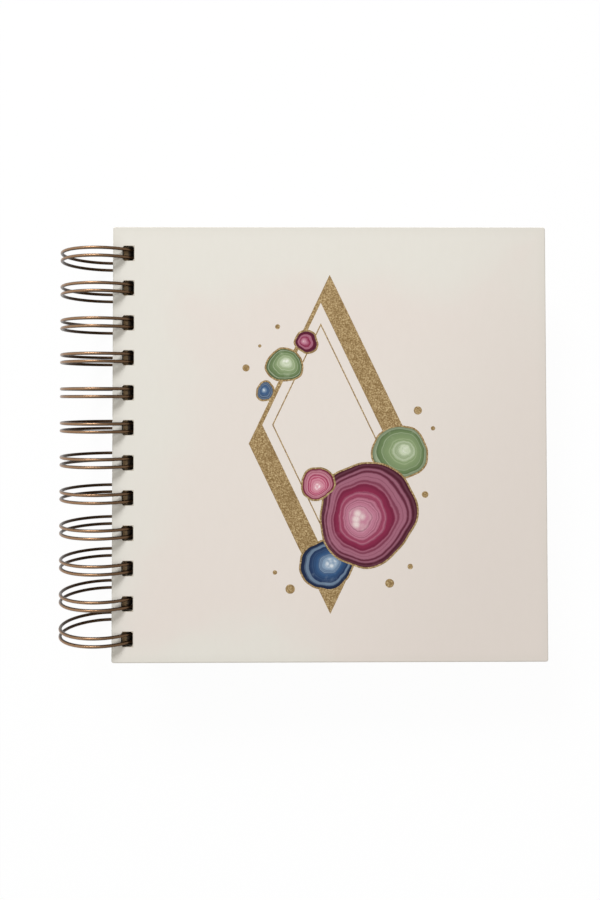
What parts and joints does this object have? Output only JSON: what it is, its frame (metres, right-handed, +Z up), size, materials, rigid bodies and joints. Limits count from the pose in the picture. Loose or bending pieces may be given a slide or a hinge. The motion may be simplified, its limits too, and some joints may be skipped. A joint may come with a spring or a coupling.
{
  "type": "indexed notebook",
  "caption": "Square hard-cover notebook with tabbed index dividers and blocks of leaves, bound along its left edge by a twin-loop wire on which covers and sections turn open flat.",
  "frame": {"origin": "centre of the closed book's bounding box, at the level of the rings' lowest point, which is what the book's spine side rests on", "axes": "+Z up through the closed book from the back cover to the front cover, +X from the rings to the fore-edge, +Y towards the head of the book"},
  "size_m": [0.18, 0.158, 0.0331],
  "materials": {
    "cover_wrap": "cream printed paper with a matt film, foil and printed colours on the front",
    "grey_board": "solid grey board, seen only in the punched holes",
    "cover_lining": "uncoated ivory lining paper",
    "divider_card": "smooth ivory index card",
    "leaf_paper": "uncoated writing paper",
    "bronze_wire": "antique bronze lacquer on steel wire"
  },
  "bodies": {
    "back_cover": {"back_cover_board": "grey_board", "back_cover_wrap": "cover_wrap", "back_cover_lining": "cover_lining", "twin_loop_wire": "bronze_wire"},
    "section_12": {"index_divider_12": "divider_card", "leaf_block_12": "leaf_paper"},
    "section_11": {"index_divider_11": "divider_card", "leaf_block_11": "leaf_paper"},
    "section_10": {"index_divider_10": "divider_card", "leaf_block_10": "leaf_paper"},
    "section_09": {"index_divider_09": "divider_card", "leaf_block_09": "leaf_paper"},
    "section_08": {"index_divider_08": "divider_card", "leaf_block_08": "leaf_paper"},
    "section_07": {"index_divider_07": "divider_card", "leaf_block_07": "leaf_paper"},
    "section_06": {"index_divider_06": "divider_card", "leaf_block_06": "leaf_paper"},
    "section_05": {"index_divider_05": "divider_card", "leaf_block_05": "leaf_paper"},
    "section_04": {"index_divider_04": "divider_card", "leaf_block_04": "leaf_paper"},
    "section_03": {"index_divider_03": "divider_card", "leaf_block_03": "leaf_paper"},
    "section_02": {"index_divider_02": "divider_card", "leaf_block_02": "leaf_paper"},
    "section_01": {"index_divider_01": "divider_card", "leaf_block_01": "leaf_paper"},
    "front_cover": {"front_cover_board": "grey_board", "front_cover_wrap": "cover_wrap", "front_cover_lining": "cover_lining"}
  },
  "joints": [
    {"name": "section_12_turn", "type": "hinge", "parent": "back_cover", "child": "section_12", "pos_m": [-0.07349, 0, 0.01655], "axis": [0, -1, 0], "range_deg": [0, 180]},
    {"name": "section_11_turn", "type": "hinge", "parent": "section_12", "child": "section_11", "pos_m": [-0.07349, 0, 0.01655], "axis": [0, -1, 0], "range_deg": [0, 180]},
    {"name": "section_10_turn", "type": "hinge", "parent": "section_11", "child": "section_10", "pos_m": [-0.07349, 0, 0.01655], "axis": [0, -1, 0], "range_deg": [0, 180]},
    {"name": "section_09_turn", "type": "hinge", "parent": "section_10", "child": "section_09", "pos_m": [-0.07349, 0, 0.01655], "axis": [0, -1, 0], "range_deg": [0, 180]},
    {"name": "section_08_turn", "type": "hinge", "parent": "section_09", "child": "section_08", "pos_m": [-0.07349, 0, 0.01655], "axis": [0, -1, 0], "range_deg": [0, 180]},
    {"name": "section_07_turn", "type": "hinge", "parent": "section_08", "child": "section_07", "pos_m": [-0.07349, 0, 0.01655], "axis": [0, -1, 0], "range_deg": [0, 180]},
    {"name": "section_06_turn", "type": "hinge", "parent": "section_07", "child": "section_06", "pos_m": [-0.07349, 0, 0.01655], "axis": [0, -1, 0], "range_deg": [0, 180]},
    {"name": "section_05_turn", "type": "hinge", "parent": "section_06", "child": "section_05", "pos_m": [-0.07349, 0, 0.01655], "axis": [0, -1, 0], "range_deg": [0, 180]},
    {"name": "section_04_turn", "type": "hinge", "parent": "section_05", "child": "section_04", "pos_m": [-0.07349, 0, 0.01655], "axis": [0, -1, 0], "range_deg": [0, 180]},
    {"name": "section_03_turn", "type": "hinge", "parent": "section_04", "child": "section_03", "pos_m": [-0.07349, 0, 0.01655], "axis": [0, -1, 0], "range_deg": [0, 180]},
    {"name": "section_02_turn", "type": "hinge", "parent": "section_03", "child": "section_02", "pos_m": [-0.07349, 0, 0.01655], "axis": [0, -1, 0], "range_deg": [0, 180]},
    {"name": "section_01_turn", "type": "hinge", "parent": "section_02", "child": "section_01", "pos_m": [-0.07349, 0, 0.01655], "axis": [0, -1, 0], "range_deg": [0, 180]},
    {"name": "front_cover_turn", "type": "hinge", "parent": "section_01", "child": "front_cover", "pos_m": [-0.07349, 0, 0.01655], "axis": [0, -1, 0], "range_deg": [0, 180]}
  ]
}
